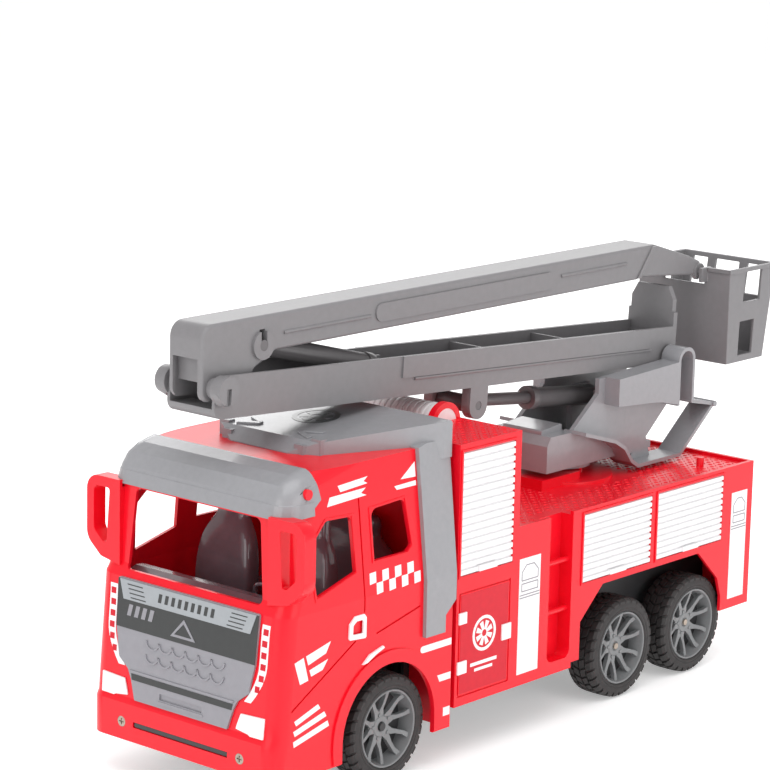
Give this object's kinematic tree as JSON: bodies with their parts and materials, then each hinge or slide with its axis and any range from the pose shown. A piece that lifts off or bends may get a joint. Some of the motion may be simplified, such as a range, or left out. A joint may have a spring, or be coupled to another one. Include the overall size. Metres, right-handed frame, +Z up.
{
  "type": "toy fire engine",
  "caption": "Toy aerial-platform fire engine with a turning turret, folding boom, rescue basket, steering front wheels and a geared rear axle.",
  "frame": {"origin": "on the ground below the middle of the bounding box", "axes": "+X forward, +Y to the left side, +Z up"},
  "size_m": [0.408, 0.132, 0.2108],
  "materials": {
    "red_plastic": "glossy moulded red",
    "grey_plastic": "satin mid grey moulding",
    "boom_grey": "satin dark grey moulding",
    "cylinder_grey": "satin grey moulding",
    "smoke_plastic": "smoky dark translucent moulding",
    "tyre": "soft black rubber",
    "rim_grey": "satin grey moulding",
    "white_plastic": "white moulding",
    "trim_black": "glossy black trim with printed bands",
    "screw_steel": "plated steel",
    "black_plastic": "satin black moulding",
    "gear_nylon": "natural nylon",
    "cell_jacket": "plain jacketed cells",
    "contact_steel": "sprung plated strip",
    "motor_steel": "plated can",
    "board_green": "laminate board"
  },
  "bodies": {
    "chassis": {"battery_cells": "cell_jacket", "battery_contacts": "contact_steel", "battery_door": "black_plastic", "body_shell": "red_plastic", "bumper_screws": "screw_steel", "cab_interior": "smoke_plastic", "cab_shell": "red_plastic", "chassis_plate": "black_plastic", "chassis_screws": "screw_steel", "drive_motor": "motor_steel", "gearbox_housing": "gear_nylon", "grille_panel": "trim_black", "headlamp_left": "trim_black", "headlamp_right": "trim_black", "hose_roll": "white_plastic", "mid_shutter_left": "white_plastic", "mid_shutter_right": "white_plastic", "mirror_left": "red_plastic", "mirror_right": "red_plastic", "rear_shutter_left": "white_plastic", "rear_shutter_right": "white_plastic", "receiver_board": "board_green", "roof_fairing": "grey_plastic", "steering_bridge": "black_plastic", "steering_coil": "black_plastic", "sun_visor": "grey_plastic", "switch_body": "black_plastic", "tower_shutter_left": "white_plastic", "tower_shutter_right": "white_plastic"},
    "turret": {"turret_frame": "grey_plastic", "turret_retainer": "screw_steel"},
    "lower_boom": {"lower_boom": "boom_grey"},
    "upper_boom": {"upper_boom": "boom_grey"},
    "lift_rod": {"lift_rod": "cylinder_grey"},
    "lift_barrel": {"lift_barrel": "cylinder_grey"},
    "jib_barrel": {"jib_barrel": "cylinder_grey"},
    "jib_rod": {"jib_rod": "cylinder_grey"},
    "basket": {"basket": "boom_grey"},
    "knuckle_left": {"knuckle_left": "black_plastic"},
    "knuckle_right": {"knuckle_right": "black_plastic"},
    "tie_rod": {"tie_rod": "black_plastic"},
    "front_wheel_left": {"front_rim_left": "rim_grey", "front_tyre_left": "tyre"},
    "front_wheel_right": {"front_rim_right": "rim_grey", "front_tyre_right": "tyre"},
    "mid_wheels": {"mid_axle_shaft": "screw_steel", "mid_rim_left": "rim_grey", "mid_rim_right": "rim_grey", "mid_tyre_left": "tyre", "mid_tyre_right": "tyre"},
    "rear_wheels": {"rear_axle_shaft": "screw_steel", "axle_gear": "gear_nylon", "rear_rim_left": "rim_grey", "rear_rim_right": "rim_grey", "rear_tyre_left": "tyre", "rear_tyre_right": "tyre"},
    "idler": {"idler_gear": "gear_nylon"},
    "pinion": {"motor_pinion": "gear_nylon"},
    "switch_slider": {"power_switch": "black_plastic"}
  },
  "joints": [
    {"name": "turret_turn", "type": "hinge", "parent": "chassis", "child": "turret", "pos_m": [-0.0615, 0, 0.106], "axis": [0, 0, 1], "range_deg": [-105, 105]},
    {"name": "boom_lift", "type": "hinge", "parent": "turret", "child": "lower_boom", "pos_m": [-0.1305, 0, 0.1525], "axis": [0, -1, 0], "range_deg": [0, 30]},
    {"name": "lift_rod_pivot", "type": "hinge", "parent": "lower_boom", "child": "lift_rod", "pos_m": [0.0205, 0, 0.1498], "axis": [0, -1, 0], "range_deg": [0, 8.23]},
    {"name": "lift_barrel_slide", "type": "slide", "parent": "lift_rod", "child": "lift_barrel", "axis": [-0.9933, 0, -0.1159], "range_m": [0, 0.0169]},
    {"name": "elbow", "type": "hinge", "parent": "lower_boom", "child": "upper_boom", "pos_m": [0.195, 0, 0.183], "axis": [0, 1, 0], "range_deg": [0, 90]},
    {"name": "jib_barrel_pivot", "type": "hinge", "parent": "upper_boom", "child": "jib_barrel", "pos_m": [0.1652, 0, 0.1978], "axis": [0, 1, 0], "range_deg": [-91.38, 0]},
    {"name": "jib_rod_slide", "type": "slide", "parent": "jib_barrel", "child": "jib_rod", "axis": [-0.9673, 0, -0.2536], "range_m": [0, 0.0471]},
    {"name": "basket_level", "type": "hinge", "parent": "upper_boom", "child": "basket", "pos_m": [-0.1611, 0, 0.1926], "axis": [0, 1, 0], "range_deg": [-90, 0]},
    {"name": "tie_rod_slide", "type": "slide", "parent": "chassis", "child": "tie_rod", "axis": [0, 1, 0], "range_m": [-0.00433, 0.00433]},
    {"name": "steer_left", "type": "hinge", "parent": "chassis", "child": "knuckle_left", "pos_m": [0.1265, 0.033, 0.025], "axis": [0, 0, 1], "range_deg": [-18.5, 18.5]},
    {"name": "steer_right", "type": "hinge", "parent": "chassis", "child": "knuckle_right", "pos_m": [0.1265, -0.033, 0.025], "axis": [0, 0, 1], "range_deg": [-18.5, 18.5]},
    {"name": "front_wheel_left_spin", "type": "hinge", "parent": "knuckle_left", "child": "front_wheel_left", "pos_m": [0.1265, 0.046, 0.025], "axis": [0, 1, 0], "continuous": true},
    {"name": "front_wheel_right_spin", "type": "hinge", "parent": "knuckle_right", "child": "front_wheel_right", "pos_m": [0.1265, -0.046, 0.025], "axis": [0, 1, 0], "continuous": true},
    {"name": "mid_axle_spin", "type": "hinge", "parent": "chassis", "child": "mid_wheels", "pos_m": [-0.0473, 0, 0.025], "axis": [0, 1, 0], "continuous": true},
    {"name": "rear_axle_spin", "type": "hinge", "parent": "chassis", "child": "rear_wheels", "pos_m": [-0.1054, 0, 0.025], "axis": [0, 1, 0], "continuous": true},
    {"name": "idler_spin", "type": "hinge", "parent": "chassis", "child": "idler", "pos_m": [-0.09692, 0, 0.03511], "axis": [0, 1, 0], "continuous": true},
    {"name": "pinion_spin", "type": "hinge", "parent": "chassis", "child": "pinion", "pos_m": [-0.0884, 0, 0.03954], "axis": [0, 1, 0], "continuous": true},
    {"name": "switch_slide", "type": "slide", "parent": "chassis", "child": "switch_slider", "axis": [0, 1, 0], "range_m": [0, 0.0038]}
  ],
  "couplings": [
    {"joint": "lift_rod_pivot", "follows": "boom_lift", "ratio": 0.27111},
    {"joint": "lift_barrel_slide", "follows": "boom_lift", "m_per_rad": 0.032157},
    {"joint": "jib_barrel_pivot", "follows": "elbow", "ratio": -1.0143},
    {"joint": "jib_rod_slide", "follows": "elbow", "m_per_rad": 0.02991},
    {"joint": "basket_level", "follows": "elbow", "ratio": -1},
    {"joint": "steer_left", "follows": "tie_rod_slide", "rad_per_m": -72.617},
    {"joint": "steer_right", "follows": "tie_rod_slide", "rad_per_m": -72.617},
    {"joint": "idler_spin", "follows": "rear_axle_spin", "ratio": -0.83333},
    {"joint": "pinion_spin", "follows": "rear_axle_spin", "ratio": 2.5}
  ]
}
